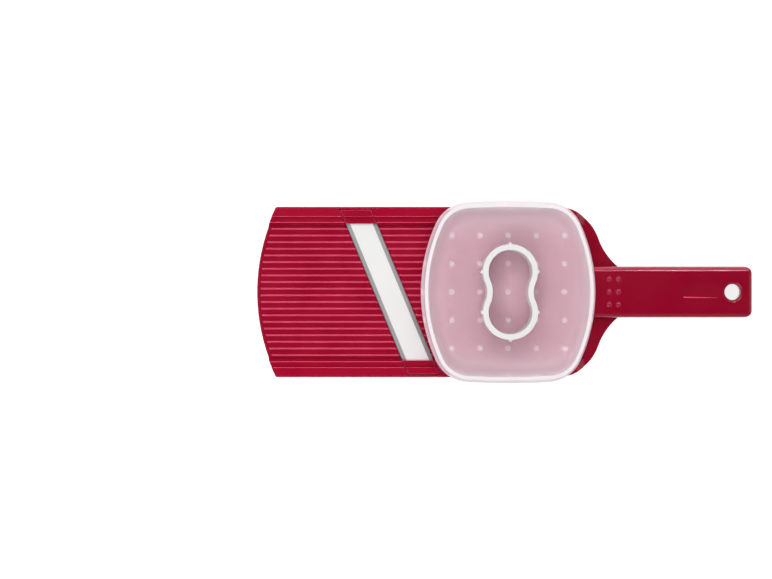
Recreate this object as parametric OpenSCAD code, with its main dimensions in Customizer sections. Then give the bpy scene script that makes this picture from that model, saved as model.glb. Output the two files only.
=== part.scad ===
// Adjustable mandoline slicer with a double-edged ceramic blade and a sliding food guard.
// X runs along the slicer towards the handle, Y across it and Z up. The origin is on the
// surface that the slicer rests on, below the middle of its length and width.

/* [Body] */
// Overall length, from the front lip to the end of the handle
body_len = 273.3; // [262:0.1:300]
// Width over the side rails
body_w = 93.9; // [93:0.1:98]
// Radius of the rounded front lip
front_r = 106; // [90:1:140]
// Small radius where the front lip meets each side
front_corner_r = 1.5; // [0.8:0.1:3]
// Length of the deck, from the front lip to where the shoulders begin
deck_len = 165; // [163:0.5:172]
// Thickness of the deck plate
deck_t = 2.4; // [2:0.1:3]
// Thickness of the side walls
side_wall = 2.2; // [1.8:0.1:2.4]
// Thickness of the front wall, which holds the front foot strip
front_wall = 5; // [4.6:0.1:7]
// Thickness of the stiffening ribs below the deck
brace_t = 1.6; // [1.2:0.1:2.4]
// Depth of those ribs below the deck plate
brace_h = 4.5; // [2:0.1:6]
// Radius of the rounded front edge of the deck
lip_r = 1.2; // [0.6:0.1:1.8]

/* [Rails] */
// Height of the rails above the crests of the ribs
rail_rise = 5; // [4.8:0.1:7]
// Width of the flat top of each rail
rail_top_w = 5.65; // [5.2:0.05:5.9]
// Width of the lower step inside each rail
rail_step_w = 3; // [2.4:0.1:3.2]
// Depth of that step below the rail top
rail_step_h = 1.6; // [1:0.1:2]
// Width of the sloping wall below the step
rail_slope_w = 1.9; // [1:0.1:2.2]
// Radius of the rail's outer top edge
rail_edge_r = 0.8; // [0.4:0.1:1.2]
// Radius of the inner edges of the rail and of its step
step_edge_r = 0.45; // [0.2:0.05:0.7]
// Distance from the front lip to where the rails start to ramp down
rail_len = 176.5; // [175:0.5:182]
// Length of the ramp at the end of each rail
ramp_len = 4.9; // [3:0.1:8]
// Material left over the hollow of each rail
rail_skin = 2.2; // [1.6:0.1:2.6]

/* [Ribs] */
// Number of lengthwise ribs on the deck
rib_count = 20; // [10:1:20]
// Distance between neighbouring ribs
rib_pitch = 3.68; // [3.2:0.01:3.7]
// Height of the ribs
rib_h = 0.6; // [0.3:0.05:0.9]
// Width of a rib at its foot
rib_w = 1.3; // [0.9:0.05:1.8]
// Smooth margin between the front lip and the ribs
rib_margin = 2.1; // [1.5:0.1:5]
// Distance from the front lip to the rear end of the ribs
rib_end = 172; // [168:0.5:175]

/* [Shoulders] */
// Radius of each rounded shoulder
shoulder_r = 25.3; // [22:0.1:27]
// Radius of the hollow curve from shoulder to handle
neck_r = 36; // [33:0.5:40]
// How far the neck curve's centre lies outside the shoulder's centre
neck_rise = 20; // [18:0.1:23]

/* [Handle] */
// Width of the handle
handle_w = 28.2; // [26:0.1:31]
// Depth of the handle, top to bottom
handle_h = 15.6; // [13:0.1:17]
// Radius of the handle's corners in plan
handle_end_r = 5; // [3:0.1:8]
// Radius of the handle's long top edges
handle_edge_r = 2.8; // [1.5:0.1:3.5]
// Wall of the handle's hollow
handle_wall = 2.4; // [1.8:0.1:3]
// Distance from the front lip to the front end of the raised handle ridge
ridge_start = 183; // [182:0.5:186]
// Number of stiffening webs inside the handle
web_count = 4; // [2:1:6]
// Thickness of those webs
web_t = 1.6; // [1.2:0.1:2.4]
// Radius of the hole to hang the slicer by
hang_r = 4.4; // [3:0.1:5]
// Width of the flare round that hole
hang_flare = 1.4; // [0.6:0.1:1.8]
// Distance from the end of the handle to the centre of the hole
hang_inset = 10.95; // [10:0.05:14]
// Radius of the boss inside the handle round the hole
hang_boss_r = 7; // [6.6:0.1:9]
// Depth of that boss below the handle's top
hang_boss_h = 5; // [4:0.1:8]
// Distance from the end of the handle to the near edge of the shallow panel
panel_inset = 19.2; // [17:0.1:22]
// Length of that panel
panel_len = 19.3; // [12:0.1:26]
// Width of that panel
panel_w = 6.3; // [4:0.1:9]
// Depth of that panel at its deep end
panel_depth = 0.7; // [0.3:0.05:1]
// Radius of the thumb bumps where they leave the handle
bump_r = 1.6; // [1:0.1:2]
// Height of the thumb bumps
bump_h = 0.7; // [0.4:0.05:1]
// Distance from the front lip to the first row of thumb bumps
bump_start = 194.2; // [190:0.1:199]
// Distance between the two rows of bumps
bump_row = 5.1; // [4.2:0.1:7]
// Distance between the bumps of a row
bump_gap = 7; // [4.5:0.1:8]

/* [Blade] */
// Distance from the front lip to the centre of the blade
blade_from_front = 73.5; // [70:0.5:78]
// Angle of the blade across the deck
blade_tilt = 22.5; // [18:0.5:24]
// Width of the blade, cutting edge to cutting edge
blade_w = 15.7; // [15:0.1:16.5]
// Thickness of the blade
blade_t = 1.4; // [1:0.1:1.5]
// Width of the ground bevel along each cutting edge
bevel_w = 2.1; // [1.4:0.1:3]
// Thickness left at the cutting edges
edge_t = 0.1; // [0.06:0.01:0.2]
// Length of each end of the blade that lies inside its end block
blade_tuck = 4.4; // [3.5:0.1:4.6]
// Gap between each cutting edge and the deck
blade_gap = 0.3; // [0.2:0.05:0.5]
// Thinnest slice, which is the height of the lowered cutting edges over the ribs
slice_min = 0.5; // [0.4:0.1:1]
// Travel of the blade, from the thinnest slice to the thickest
blade_lift = 2.5; // [1.5:0.1:2.5]
// Width of the bevel below each edge of the deck opening
undercut = 1.6; // [0.8:0.1:2]
// Thickness of the deck's edge above that bevel
deck_land = 0.8; // [0.5:0.1:1.2]

/* [Blade carrier] */
// Gap between each end block and its notch in the rail
block_gap = 0.3; // [0.15:0.05:0.35]
// Depth below the deck of the walls that guide the end blocks
guide_h = 4; // [3:0.1:4.6]
// Width of the rail left outside each notch
notch_wall = 1.45; // [1.2:0.05:1.8]
// How far the lowered end blocks lie below the rail top
block_drop = 0.2; // [0:0.05:0.4]
// Distance from the deck's edge of the rail step to the inner end of each block
block_tuck = 0.65; // [0.4:0.05:1]
// Thickness of the carrier under the blade
seat_t = 2.2; // [1.8:0.1:2.6]
// Width of the carrier's spine under the blade
spine_w = 6; // [4:0.1:8]
// Width of the feet that carry the follower pins
foot_w = 6; // [4:0.1:7]
// Thickness of those feet
foot_t = 1.8; // [1.4:0.1:2]
// Radius of the follower pins
pin_r = 0.9; // [0.7:0.05:1]
// Radius of the screws that hold the blade clamps
clamp_screw_r = 1; // [0.8:0.05:1.1]
// Distance of those screws from the blade's centre line
clamp_screw_u = 5.5; // [5.2:0.1:6]

/* [Adjuster] */
// Radius of the adjuster bar
bar_r = 4; // [3.6:0.1:4.3]
// Half of the distance between the bar's flats
flat_r = 3.6; // [3.3:0.05:3.8]
// Half length of the flat-sided middle of the bar
flat_half = 18; // [14:0.5:19]
// Radius of the fluted finger grips
grip_r = 5; // [4.6:0.1:5.4]
// Length of each finger grip
grip_len = 9; // [6:0.5:10]
// Number of flutes round each finger grip
flute_count = 16; // [10:1:20]
// Radius of the flutes
flute_r = 0.6; // [0.4:0.05:0.7]
// Radius of the click wheel
click_r = 4.6; // [4.4:0.05:5]
// Width of the click wheel
click_w = 2.5; // [2:0.1:3]
// Radius of the four notches in the click wheel
notch_r = 0.7; // [0.5:0.05:0.9]
// Radius of the bar's journals
journal_r = 3; // [2.6:0.05:3.2]
// Running clearance between journal and bearing
journal_gap = 0.06; // [0.03:0.01:0.1]
// Distance from the rails' outer faces to the middle of each bearing, straight across
bearing_from_side = 11.2; // [11:0.05:11.4]
// Length of each bearing
bearing_len = 3.4; // [2.8:0.1:3.6]
// Width across the bearing block
bearing_w = 26; // [25:0.5:28]
// Wall of the bearing cap below the journal
cap_wall = 1.5; // [1.2:0.1:1.8]
// Width across the bearing cap
cap_w = 23; // [21:0.5:24]
// Thickness of the bearing cap's flanges
cap_flange = 2.4; // [1.8:0.1:2.8]
// Distance of the cap's screws from the bar's centre line
cap_screw_u = 8; // [7:0.1:9]
// Radius of the cap's screws
cap_screw_r = 1; // [0.8:0.05:1.2]
// End play between parts that turn past each other
end_play = 0.3; // [0.2:0.05:0.35]
// Thickness of the cam discs
disc_t = 4; // [3.7:0.1:4.1]
// Depth of the spiral groove in each cam disc
groove_depth = 1.6; // [1.3:0.1:1.7]
// Material between the bottom of the groove and the square socket
disc_floor = 0.6; // [0.4:0.05:0.8]
// Radius of the groove's centre line at the thinnest setting
spiral_start = 1.6; // [1.4:0.05:2]
// Clearance between follower pin and groove
groove_gap = 0.08; // [0.04:0.01:0.1]
// Material outside the groove at its widest
disc_rim = 0.9; // [0.7:0.05:1.2]
// Side of the square stub that turns each cam disc
stub_side = 3.6; // [3:0.1:4]
// Clearance of the square stub in its disc
stub_gap = 0.05; // [0.02:0.01:0.1]
// Gap between the cam discs and what lies above and below them
disc_gap = 0.35; // [0.3:0.05:0.6]

/* [Click spring] */
// Thickness of the leaf
leaf_t = 0.5; // [0.4:0.05:0.6]
// Width of the leaf
leaf_w = 2.5; // [2:0.1:2.5]
// Distance of the leaf's screw from the bar's centre line
leaf_screw_u = 15; // [14.5:0.1:16.5]
// Distance of the leaf's post's edges from that screw
leaf_post_half = 2; // [1.8:0.1:2.4]
// Gap between the leaf's nose and the click wheel's rim
leaf_gap = 0.1; // [0.06:0.01:0.2]
// Radius of the leaf's nose
nose_r = 0.5; // [0.4:0.05:0.6]

/* [Small screws] */
// Height of the pan heads
head_h = 0.8; // [0.6:0.05:0.85]
// Width of the heads beyond the shank
head_flange = 0.5; // [0.4:0.05:0.6]
// Length of the threads in the plastic
thread_len = 3.4; // [2.5:0.1:3.6]
// Length of the clamp screws inside the clamps
clamp_grip = 2; // [1.5:0.1:2.2]
// Clearance of the shanks in their holes
screw_gap = 0.03; // [0.01:0.01:0.08]

/* [Feet] */
// Height of the slicer's underside above the table
foot_h = 1; // [0.8:0.1:2]
// Depth of the seats that hold the feet
foot_seat = 1.2; // [0.8:0.1:1.6]
// Width of the front foot strip
strip_w = 3; // [2:0.1:3.4]
// Half length of the front foot strip
strip_half = 38; // [25:0.5:40]
// Distance of the front foot strip from the lip
strip_inset = 0.9; // [0.8:0.05:1]
// Radius of the rear feet
pad_r = 5; // [4:0.1:6]
// Wall round each rear foot
pad_wall = 1.4; // [1:0.1:2]
// Distance from the front lip to the rear feet
pad_from_front = 168; // [160:0.5:171]
// Distance of the rear feet from the centre line
pad_y = 31; // [24:0.5:33]
// Clearance round the feet in their seats
seat_gap = 0.05; // [0.02:0.01:0.1]

/* [Guard] */
// Length of the guard, along the slicer
guard_len = 95.4; // [90:0.1:98]
// Distance from the rails' outer faces to the inside of the guard's skirts
skirt_gap = 0.4; // [0.3:0.05:0.7]
// Thickness of the skirts at the middle of their length
skirt_t = 2.5; // [1.6:0.1:2.6]
// Radius of the guard's bulging front and rear edges
guard_end_r = 90; // [70:1:130]
// Radius of the guard's nearly straight sides
guard_side_r = 400; // [300:10:800]
// Radius of the guard's corners
guard_corner_r = 20; // [17:0.5:24]
// Distance from the front lip to the guard's centre
guard_from_front = 138.25; // [132:0.25:140]
// Height of the guard's plate above the rails
plate_rise = 4.2; // [3:0.1:6]
// Thickness of the guard's plate
plate_t = 1.8; // [1.4:0.1:2.4]
// Height of the guard's rim above the underside of its plate
rim_h = 10.5; // [8:0.1:14]
// Width of the thin flange outside the rim
flange_w = 1.7; // [1:0.1:2.4]
// Thickness of that flange
flange_t = 1.4; // [1:0.1:2]
// Thickness of the rim
rim_t = 2.3; // [1.8:0.1:3]
// Width of the curve between the rim and the plate
bowl_w = 9; // [6:0.1:12]
// Depth of the skirts below the rail top
skirt_depth = 5.5; // [3:0.1:9]
// Half length of the skirts
skirt_half = 24; // [18:0.5:26]
// Radius of the skirts' lower corners
skirt_corner_r = 4; // [2:0.5:6]
// Width of the ledges that run on the rails
ledge_w = 1.2; // [0.9:0.05:1.2]
// Gap between those ledges and the rails
ledge_gap = 0.2; // [0.1:0.05:0.3]
// Travel of the guard towards the front lip
guard_travel = 85; // [70:1:88]

/* [Grip ring] */
// Radius of the ring's two lobes
lobe_r = 14.75; // [13:0.05:16]
// Distance of each lobe's centre from the middle of the ring
lobe_y = 10.9; // [9:0.1:12]
// Width of the ring at its waist
waist_w = 24.9; // [23.5:0.1:27]
// Wall of the ring
ring_wall = 3; // [2.5:0.1:4]
// Height of the ring above the plate
ring_h = 17; // [12:0.5:24]
// Radius of the small uprights on the outside of the ring
nub_r = 1; // [0.6:0.05:1.4]

/* [Food pins] */
// Pins along each side of the square pattern
pin_rows = 5; // [4:1:5]
// Distance between neighbouring pins
pin_pitch = 15.4; // [13:0.1:15.6]
// Length of the pins below the plate
food_pin_len = 4.5; // [2:0.1:4.6]
// Radius of the pins at the plate
food_pin_r = 1.5; // [1:0.1:2]
// Radius of the pins at their tips
food_pin_tip = 0.35; // [0.2:0.05:0.6]

/* [Hidden] */
$fn = 64;
over = 1; // how far cutting shapes run past the faces they cut
weld = 0.01; // how far joined shapes sink into each other
settings = 4; // clicks of the adjuster
turn = 270; // degrees from the first click to the last
groove_steps = 54; // straight pieces that draw the spiral groove
arc_steps = 5; // straight pieces of each rounded edge of the rails
rib_steps = 8; // straight pieces of a rib's round section
panel_end = 0.05; // depth of the handle's panel at its shallow end
ring_pts = 8; // points on each arc of the guard's outline
lobe_pts = 40; // points round each lobe of the grip ring

// Places along the slicer
front_x = -body_len / 2;
rear_x = body_len / 2;
shoulder_x = front_x + deck_len;
rail_end_x = front_x + rail_len;
blade_x = front_x + blade_from_front;
hang_x = rear_x - hang_inset;
ridge_x = front_x + ridge_start;
guard_x = front_x + guard_from_front;
half_w = body_w / 2;

// Heights, worked out from the adjuster upwards
base_z = foot_h;
disc_r = spiral_start + blade_lift + pin_r + groove_gap + disc_rim;
axis_z = base_z + disc_gap + disc_r;
seat_z = axis_z + disc_r + disc_gap; // underside of the lowered carrier
edge_z = seat_z + seat_t; // underside of the lowered blade
crest_z = edge_z - slice_min; // crests of the ribs
deck_z = crest_z - rib_h; // flat deck between the ribs
deck_under = deck_z - deck_t;
rail_z = crest_z + rail_rise;
step_z = rail_z - rail_step_h;
handle_z = rail_z - handle_h;
plate_z = rail_z + plate_rise;

// Places across the slicer
rail_in = half_w - rail_top_w;
step_in = rail_in - rail_step_w;
slope_in = step_in - rail_slope_w;
notch_y = half_w - notch_wall;
block_y = notch_y - block_gap;
block_in = step_in - block_tuck;
blade_y = block_in + blade_tuck;

// Places along the adjuster bar, measured from its middle
opening_w = blade_w + 2 * blade_gap;
block_w = opening_w - 2 * block_gap;
bearing_v = (half_w - bearing_from_side) / cos(blade_tilt);
body_end = bearing_v - bearing_len / 2 - end_play;
disc_in = bearing_v + bearing_len / 2 + end_play;
disc_out = disc_in + disc_t;
socket_end = disc_out - groove_depth - disc_floor;
stub_end = socket_end - end_play / 2;
foot_in = disc_out + end_play;
click_v = body_end - click_w;
grip_out = click_v - 2 * end_play;
screw_y = (blade_y + block_y) / 2;
leaf_top = axis_z - click_r - leaf_gap - nose_r / 2;

// Arcs of the guard's outline: centres, and the angles where the arcs meet
guard_half_w = half_w + skirt_gap + skirt_t;
end_c = [guard_len / 2 - guard_end_r, 0];
side_c = [0, guard_half_w - guard_side_r];
apart = norm(side_c - end_c);
reach = (pow(guard_end_r - guard_corner_r, 2) - pow(guard_side_r - guard_corner_r, 2)
    + apart * apart) / (2 * apart);
off = sqrt(pow(guard_end_r - guard_corner_r, 2) - reach * reach);
towards = (side_c - end_c) / apart;
corner_c = end_c + reach * towards + off * [-towards[1], towards[0]];
end_a = atan2(corner_c[1] - end_c[1], corner_c[0] - end_c[0]);
side_a = atan2(corner_c[1] - side_c[1], corner_c[0] - side_c[0]);

// Shoulder and neck arcs
arc_y = half_w - shoulder_r;
neck_y = arc_y + neck_rise;
neck_x = shoulder_x + sqrt(pow(shoulder_r + neck_r, 2) - neck_rise * neck_rise);
arc_sin = neck_rise / (shoulder_r + neck_r);
handle_x = neck_x - sqrt(pow(neck_r, 2) - pow(neck_y - handle_w / 2, 2));

// ---------------------------------------------------------------- shared shapes

// Draws its children in the blade's own frame: local Y along the blade, X across it
module along_blade(z = 0) {
    translate([blade_x, 0, z])
        rotate([0, 0, blade_tilt])
            children();
}

// Turns an outline drawn in X and Z into a bar of length h that ends at y
module bar_to(y, h) {
    translate([0, y, 0])
        rotate([90, 0, 0])
            linear_extrude(h)
                children();
}

// Draws its children on both sides of the slicer
module both_sides() {
    children();
    mirror([0, 1, 0])
        children();
}

// The slanted strip across the slicer, w wide, that ends in lines along X at +-y
module slanted_strip(w, y) {
    intersection() {
        translate([blade_x, 0])
            rotate(blade_tilt)
                square([w, 2 * body_w], center = true);
        translate([front_x, -y])
            square([body_len, 2 * y]);
    }
}

// Part of that strip between two distances from the centre line, on the far side
module strip_end(w, y0, y1) {
    intersection() {
        slanted_strip(w, y1);
        translate([front_x, y0])
            square([body_len, y1 - y0]);
    }
}

// A box given by its two corners
module box(a, b) {
    translate(a)
        cube(b - a);
}

// ---------------------------------------------------------------- outline of the body

// The deck's outline, drawn in by i, with rounded front corners
module deck_outline(i) {
    cx = front_x + front_r;
    r = front_r - i;
    w = half_w - i;
    c = front_corner_r;
    fx = cx - sqrt(pow(r - c, 2) - pow(w - c, 2));
    k = r / (r - c) + 0.05;
    difference() {
        intersection() {
            union() {
                translate([cx, 0])
                    circle(r, $fn = 180);
                translate([cx, -w])
                    square([shoulder_x - cx, 2 * w]);
            }
            translate([front_x, -w])
                square([deck_len, 2 * w]);
        }
        for (s = [-1, 1])
            difference() {
                polygon([
                    [fx, s * (w + c)], [fx, s * (w - c)],
                    [cx + (fx - cx) * k, s * (w - c) * k], [cx - r, s * (w + c)]
                ]);
                translate([fx, s * (w - c)])
                    circle(c);
            }
    }
}

// Shoulders and neck, drawn in by i
module shoulder_outline(i) {
    r = shoulder_r - i;
    tangent_y = arc_y + r * arc_sin;
    intersection() {
        union() {
            for (s = [-1, 1])
                translate([shoulder_x, s * arc_y])
                    circle(r, $fn = 96);
            translate([shoulder_x, -arc_y])
                square([r, 2 * arc_y]);
        }
        translate([shoulder_x - over / 2, -half_w])
            square([body_len, body_w]);
    }
    difference() {
        translate([shoulder_x, -tangent_y])
            square([neck_x - shoulder_x, 2 * tangent_y]);
        for (s = [-1, 1])
            translate([neck_x, s * neck_y])
                circle(neck_r + i, $fn = 128);
    }
}

// Handle from x0 to its end, drawn in by i
module handle_outline(i, x0) {
    r = handle_end_r - i;
    w = handle_w / 2 - i;
    translate([x0, -w])
        square([rear_x - handle_end_r - x0, 2 * w]);
    translate([rear_x - handle_end_r - over, -w + r])
        square([handle_end_r - i + over, 2 * (w - r)]);
    for (s = [-1, 1])
        translate([rear_x - handle_end_r, s * (w - r)])
            circle(r);
}

// ---------------------------------------------------------------- main frame

// Points of a rounded edge: an arc round c from angle a to angle b
function edge_points(c, r, a, b) = [
    for (k = [0:arc_steps])
        let (t = a + (b - a) * k / arc_steps) [c[0] + r * cos(t), c[1] + r * sin(t)]
];

// Half of the rail's section above the deck, from the slope to the outer wall
module rail_section() {
    rise = atan2(step_z - deck_z, rail_slope_w); // angle of the slope below the step
    r = step_edge_r;
    polygon(concat(
        [[half_w, deck_z - over], [slope_in, deck_z - over], [slope_in, deck_z]],
        edge_points([step_in + r * tan(rise / 2), step_z - r], r, 90 + rise, 90),
        [[rail_in, step_z]],
        edge_points([rail_in + r, rail_z - r], r, 180, 90),
        edge_points([half_w - rail_edge_r, rail_z - rail_edge_r], rail_edge_r, 90, 0)
    ));
}

// One rib's section: a segment of a circle that stands on the deck
module rib_section() {
    r = (rib_w * rib_w / 4 + rib_h * rib_h) / (2 * rib_h);
    half = acos((r - rib_h) / r); // half of the angle that the segment spans
    polygon(concat(
        [[rib_w / 2, -rib_h / 2], [-rib_w / 2, -rib_h / 2]],
        [
            for (k = [0:rib_steps])
                let (t = half * (2 * k / rib_steps - 1)) [r * sin(t), rib_h - r * (1 - cos(t))]
        ]
    ));
}

// Draws a section of Y and Z as a bar from x0 to x1
module bar_along_x(x0, x1) {
    translate([x0, 0, 0])
        rotate([90, 0, 90])
            linear_extrude(x1 - x0)
                children();
}

// Both rails, ramped down at their rear ends
module rails() {
    ramp_end = rail_end_x + ramp_len;
    difference() {
        intersection() {
            bar_along_x(front_x, ramp_end) {
                rail_section();
                mirror([1, 0])
                    rail_section();
            }
            linear_extrude(rail_z + over)
                union() {
                    deck_outline(0);
                    shoulder_outline(0);
                }
        }
        bar_to(body_w, 2 * body_w)
            polygon([[rail_end_x, rail_z + over], [rail_end_x, rail_z], [ramp_end, deck_z],
                     [ramp_end + over, deck_z], [ramp_end + over, rail_z + over]]);
    }
}

// The ribs, which stop short of the front lip
module ribs() {
    intersection() {
        bar_along_x(front_x, front_x + rib_end)
            for (k = [0:rib_count - 1])
                translate([(k - (rib_count - 1) / 2) * rib_pitch, deck_z])
                    rib_section();
        linear_extrude(rail_z)
            deck_outline(rib_margin);
    }
}

// The handle's section, rounded along its top edges
module handle_section() {
    w = handle_w / 2;
    r = handle_edge_r;
    translate([-w, handle_z])
        square([handle_w, handle_h - r]);
    translate([-w + r, handle_z])
        square([handle_w - 2 * r, handle_h]);
    for (s = [-1, 1])
        translate([s * (w - r), rail_z - r])
            circle(r);
}

// The handle's side view: the ridge starts with a round nose and the end rounds down
module handle_profile() {
    r = handle_edge_r;
    translate([ridge_x + r, handle_z])
        square([rear_x - ridge_x - 2 * r, handle_h]);
    translate([ridge_x, handle_z])
        square([rear_x - ridge_x, handle_h - r]);
    for (x = [ridge_x + r, rear_x - r])
        translate([x, rail_z - r])
            circle(r);
}

// The solid handle, before it is hollowed
module handle_block() {
    intersection() {
        bar_along_x(ridge_x, rear_x)
            handle_section();
        bar_to(handle_w, 2 * handle_w)
            handle_profile();
        linear_extrude(rail_z + over)
            handle_outline(0, ridge_x);
    }
}

// Six low bumps for the thumb
module thumb_bumps() {
    ball = (bump_r * bump_r + bump_h * bump_h) / (2 * bump_h);
    for (row = [0, 1], k = [-1:1])
        translate([front_x + bump_start + row * bump_row, k * bump_gap, rail_z + bump_h - ball])
            sphere(ball);
}

// Deck, rails, shoulders and handle as one solid, before it is hollowed
module outer_body() {
    translate([0, 0, base_z])
        linear_extrude(deck_z - base_z) {
            deck_outline(0);
            shoulder_outline(0);
        }
    rails();
    ribs();
    handle_block();
    thumb_bumps();
}

// Slope that lifts the neck's underside from the table up to the handle's
module neck_lift() {
    slope_start = neck_x - neck_r;
    bar_to(body_w, 2 * body_w)
        polygon([[slope_start, base_z], [slope_start, base_z - over], [rear_x + over, base_z - over],
                 [rear_x + over, handle_z], [slope_start + 2 * (handle_z - base_z), handle_z]]);
}

// The hollow below the deck and the shoulders
module body_hollow() {
    translate([0, 0, base_z - over])
        linear_extrude(deck_under - base_z + over)
            union() {
                intersection() {
                    deck_outline(side_wall);
                    translate([front_x + front_r, 0])
                        union() {
                            circle(front_r - front_wall, $fn = 180);
                            translate([0, -half_w])
                                square([deck_len, body_w]);
                        }
                }
                shoulder_outline(side_wall);
            }
}

// The hollow inside each rail
module rail_hollow() {
    both_sides()
        box([front_x + front_r - sqrt(pow(front_r - front_wall, 2) - pow(half_w - side_wall, 2)),
             step_in + rail_skin / 2, deck_under - over],
            [rail_end_x - rail_skin, half_w - side_wall, step_z - rail_skin]);
}

// The hollow of the handle, with its webs and the boss round the hanging hole left standing
module handle_hollow() {
    x0 = ridge_x + handle_wall;
    x1 = hang_x - hang_boss_r;
    pitch = (x1 - handle_x) / web_count;
    difference() {
        translate([0, 0, base_z - over])
            linear_extrude(rail_z - handle_wall - base_z + over)
                handle_outline(handle_wall, x0);
        for (k = [0:web_count - 1])
            box([handle_x + k * pitch, -handle_w / 2, handle_z],
                [handle_x + k * pitch + web_t, handle_w / 2, rail_z]);
        translate([hang_x, 0, rail_z - hang_boss_h])
            cylinder(r = hang_boss_r, h = hang_boss_h);
    }
}

// The opening for the blade and both notches, with its edges bevelled from below
module blade_opening() {
    translate([0, 0, base_z])
        linear_extrude(rail_z)
            slanted_strip(opening_w, notch_y);
    u = opening_w / 2;
    intersection() {
        along_blade()
            bar_to(half_w, body_w)
                polygon([[-u, deck_z - deck_land], [u, deck_z - deck_land],
                         [u + undercut, deck_under - weld], [-u - undercut, deck_under - weld]]);
        translate([front_x, -slope_in + side_wall, 0])
            cube([body_len, 2 * (slope_in - side_wall), rail_z]);
    }
}

// Upper half of a bearing, hanging from the deck across the opening
module bearing_block() {
    difference() {
        along_blade()
            box([-bearing_w / 2, bearing_v - bearing_len / 2, axis_z],
                [bearing_w / 2, bearing_v + bearing_len / 2, deck_under + weld]);
        journal_bore();
    }
}

module journal_bore() {
    along_blade(axis_z)
        translate([0, bearing_v + bearing_len / 2 + over, 0])
            rotate([90, 0, 0])
                cylinder(r = journal_r + journal_gap, h = bearing_len + 2 * over);
}

module cap_screw_holes() {
    for (s = [-1, 1])
        along_blade(axis_z - over)
            translate([s * cap_screw_u, bearing_v, 0])
                cylinder(r = cap_screw_r, h = thread_len + over);
}

// Stiffening ribs below the deck: a pair in line with the handle's side walls, before and
// behind the opening, and one across in front of the rear feet
module braces() {
    y1 = (handle_w - handle_wall + brace_t) / 2;
    y0 = y1 - brace_t;
    clear = opening_w / 2 / cos(blade_tilt) + 2 * undercut + y1 * tan(blade_tilt);
    z0 = deck_under - brace_h;
    both_sides() {
        box([front_x + front_wall / 2, y0, z0], [blade_x - clear, y1, deck_under + weld]);
        box([blade_x + clear, y0, z0], [handle_x, y1, deck_under + weld]);
    }
    across = front_x + pad_from_front - 2 * pad_r - pad_wall;
    box([across - brace_t, -half_w + side_wall / 2, z0],
        [across, half_w - side_wall / 2, deck_under + weld]);
}

// The rounding along the deck's front edge, between the rails
module lip_rounding() {
    intersection() {
        translate([front_x + front_r, 0, deck_z - lip_r])
            rotate_extrude($fn = 180)
                difference() {
                    translate([front_r - lip_r, 0])
                        square([lip_r + over, lip_r + over]);
                    translate([front_r - lip_r, 0])
                        circle(lip_r, $fn = 48);
                }
        box([front_x - over, -slope_in, base_z], [front_x + front_r / 2, slope_in, rail_z]);
    }
}

// Walls that guide each end block below the deck
module block_guides() {
    intersection() {
        translate([0, 0, deck_under - guide_h])
            linear_extrude(guide_h + weld)
                difference() {
                    strip_end(opening_w + 2 * side_wall, slope_in, half_w - side_wall / 2);
                    strip_end(opening_w, slope_in - over, half_w);
                }
        linear_extrude(rail_z)
            deck_outline(side_wall / 2);
    }
}

// Post below the deck that carries the click spring
module spring_post() {
    difference() {
        along_blade()
            box([leaf_screw_u - leaf_post_half, click_v + click_w / 2 - leaf_w / 2, leaf_top],
                [leaf_screw_u + leaf_post_half, click_v + click_w / 2 + leaf_w / 2,
                 deck_under + weld]);
        along_blade(leaf_top - over)
            translate([leaf_screw_u, click_v + click_w / 2, 0])
                cylinder(r = cap_screw_r, h = thread_len + over);
    }
}

// Bosses that hold the rear feet
module pad_bosses() {
    both_sides()
        translate([front_x + pad_from_front, pad_y, base_z])
            difference() {
                cylinder(r = pad_r + pad_wall, h = deck_under + weld - base_z);
                translate([0, 0, -over])
                    cylinder(r = pad_r + seat_gap, h = foot_seat + over);
            }
}

// Outline of the front foot strip, grown by g
module strip_outline(g) {
    translate([front_x + front_r, 0])
        intersection() {
            difference() {
                circle(front_r - strip_inset + g, $fn = 180);
                circle(front_r - strip_inset - strip_w - g, $fn = 180);
            }
            translate([-front_r, -strip_half - g])
                square([front_r, 2 * (strip_half + g)]);
        }
}

// Copies its children half a turn round the blade's centre, for the near end of the mechanism
module half_turn() {
    translate([2 * blade_x, 0, 0])
        rotate([0, 0, 180])
            children();
}

module both_ends() {
    children();
    half_turn()
        children();
}

// The hole to hang the slicer by, with its mouth rounded
module hang_hole() {
    translate([hang_x, 0, 0])
        cylinder(r = hang_r, h = rail_z + over);
    translate([hang_x, 0, 0])
        rotate_extrude()
            difference() {
                translate([hang_r - over / 2, rail_z - hang_flare])
                    square([hang_flare + over / 2, hang_flare + over]);
                translate([hang_r + hang_flare, rail_z - hang_flare])
                    circle(hang_flare);
            }
}

// The shallow bare panel on the handle, deepest at its front end, with slanted side walls
module bare_panel() {
    x1 = rear_x - panel_inset;
    x0 = x1 - panel_len;
    w = panel_w / 2;
    d = panel_depth;
    intersection() {
        bar_to(panel_w, 2 * panel_w)
            polygon([[x0 - over, rail_z + over], [x0 + d, rail_z - d], [x1, rail_z - panel_end],
                     [x1, rail_z + over]]);
        bar_along_x(x0 - over, x1 + over)
            polygon([[-w - over, rail_z + over], [-w + d, rail_z - d], [w - d, rail_z - d],
                     [w + over, rail_z + over]]);
    }
}

module main_frame() {
    color("firebrick")
        difference() {
            union() {
                difference() {
                    outer_body();
                    neck_lift();
                    body_hollow();
                    rail_hollow();
                    handle_hollow();
                    blade_opening();
                }
                both_ends() {
                    bearing_block();
                    block_guides();
                }
                spring_post();
                pad_bosses();
                braces();
            }
            lip_rounding();
            translate([0, 0, base_z - over])
                linear_extrude(foot_seat + over)
                    strip_outline(seat_gap);
            both_ends()
                cap_screw_holes();
            hang_hole();
            bare_panel();
        }
}

// ---------------------------------------------------------------- feet

module front_foot() {
    color("dimgray")
        linear_extrude(base_z + foot_seat)
            strip_outline(0);
}

module rear_feet() {
    color("dimgray")
        both_sides()
            translate([front_x + pad_from_front, pad_y, 0])
                cylinder(r = pad_r, h = base_z + foot_seat);
}

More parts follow.
